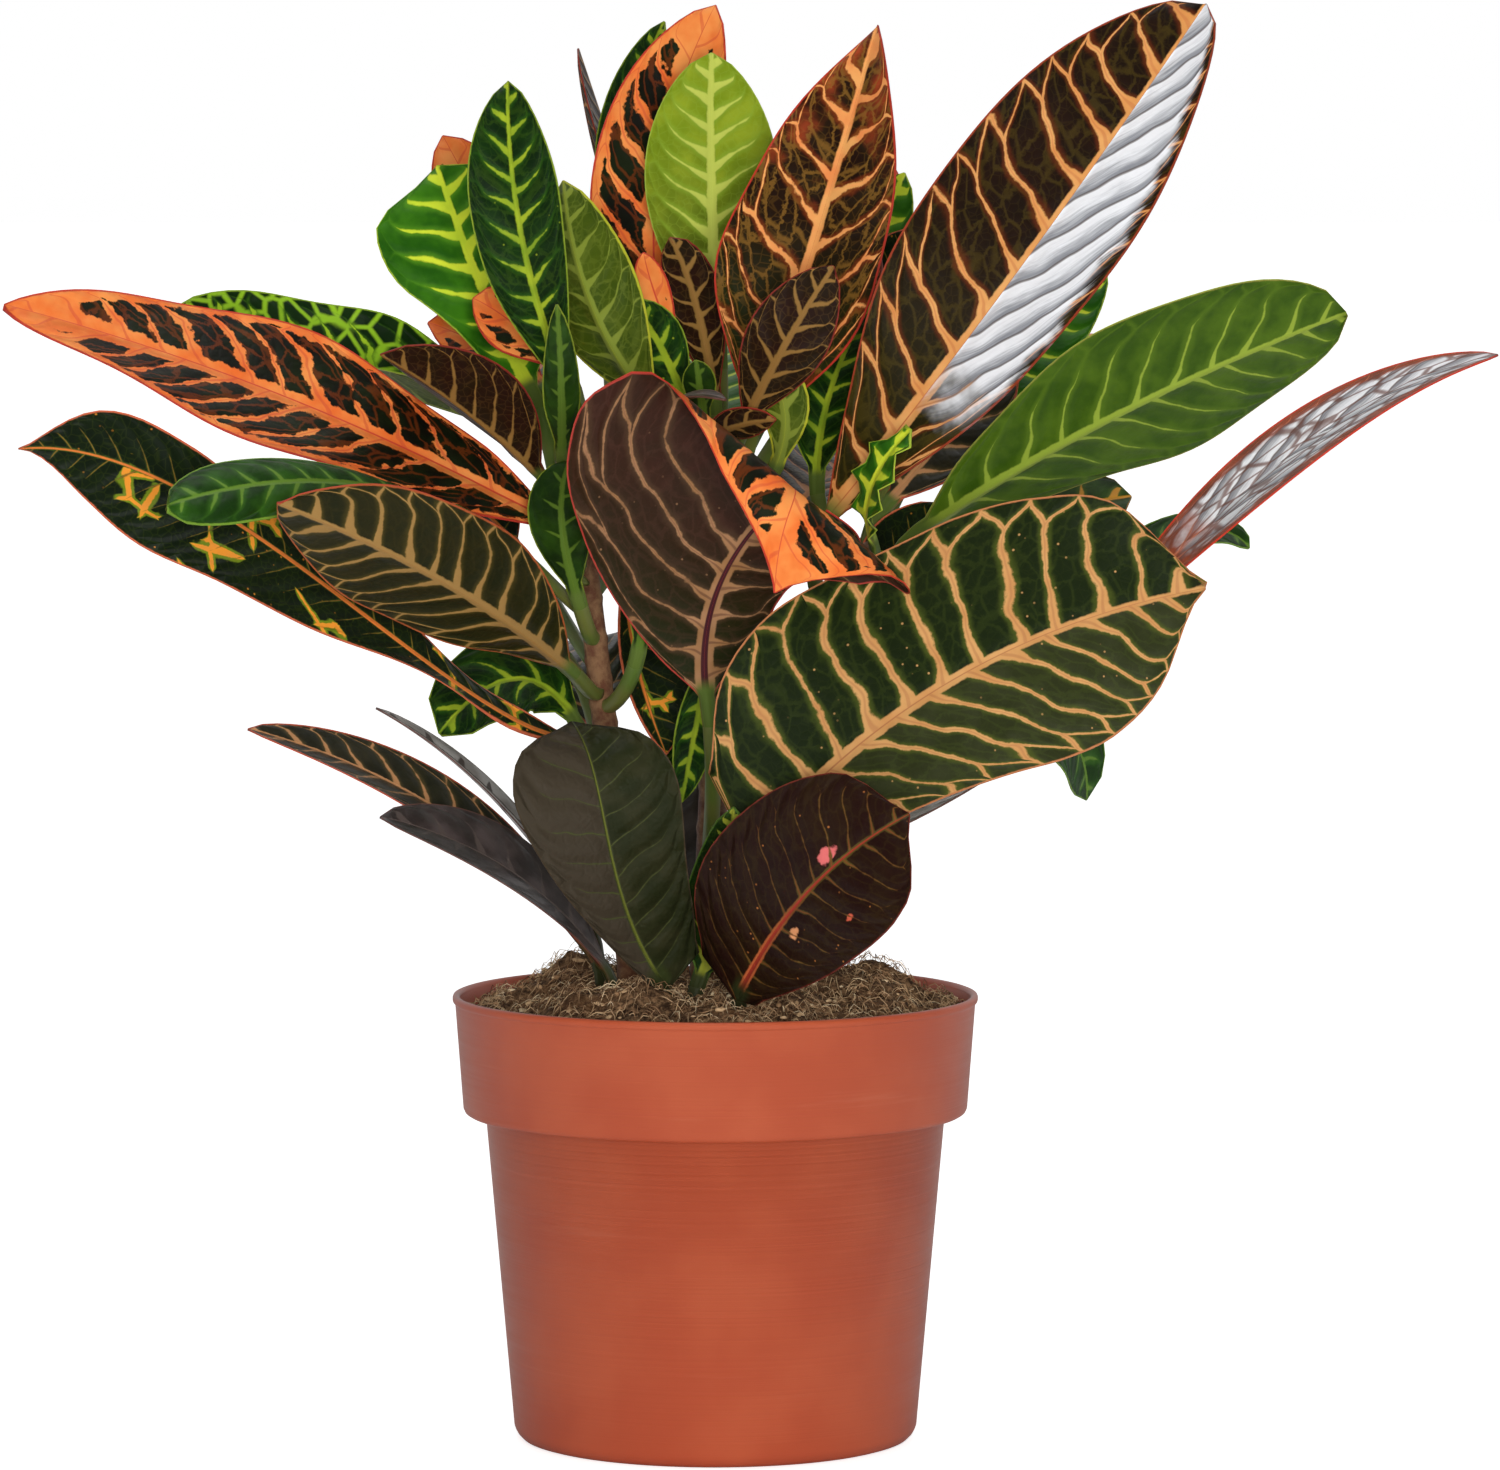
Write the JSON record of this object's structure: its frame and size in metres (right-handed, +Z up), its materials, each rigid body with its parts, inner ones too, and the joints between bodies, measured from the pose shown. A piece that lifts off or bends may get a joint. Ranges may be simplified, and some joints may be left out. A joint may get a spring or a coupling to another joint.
{
  "type": "potted plant",
  "caption": "Potted croton: broad patterned leaves on leafy stems in a filled, tapered nursery pot with a wide collar.",
  "frame": {"origin": "Middle of the pot's flat foot, on the ground", "axes": "+Z up, -Y is the front, +X is to the right when seen from the front"},
  "size_m": [0.3956, 0.2752, 0.3821],
  "materials": {
    "pot": "satin",
    "soil": "rough, fibrous",
    "stem": "satin",
    "leaf": "waxy, glossy"
  },
  "bodies": {
    "root": {"leaf_back_1": "leaf", "leaf_back_10": "leaf", "leaf_back_11": "leaf", "leaf_back_2": "leaf", "leaf_back_3": "leaf", "leaf_back_4": "leaf", "leaf_back_5": "leaf", "leaf_back_6": "leaf", "leaf_back_7": "leaf", "leaf_back_8": "leaf", "leaf_back_9": "leaf", "leaf_crown_16": "leaf", "leaf_crown_5": "leaf", "leaf_front_1": "leaf", "leaf_front_2": "leaf", "leaf_front_3": "leaf", "leaf_left_1": "leaf", "leaf_left_11": "leaf", "leaf_left_12": "leaf", "leaf_left_13": "leaf", "leaf_left_14": "leaf", "leaf_left_2": "leaf", "leaf_left_3": "leaf", "leaf_left_4": "leaf", "leaf_left_5": "leaf", "leaf_left_6": "leaf", "leaf_left_8": "leaf", "leaf_low_1": "leaf", "leaf_low_2": "leaf", "leaf_low_3": "leaf", "leaf_low_4": "leaf", "leaf_low_5": "leaf", "leaf_low_6": "leaf", "leaf_low_7": "leaf", "leaf_low_8": "leaf", "leaf_right_1": "leaf", "leaf_right_2": "leaf", "leaf_right_3": "leaf", "leaf_right_4": "leaf", "leaf_right_5": "leaf", "leaf_right_6": "leaf", "leaf_right_9": "leaf", "pot": "pot", "soil": "soil", "stem_left": "stem", "stem_middle": "stem", "stem_right": "stem"}
  },
  "joints": []
}
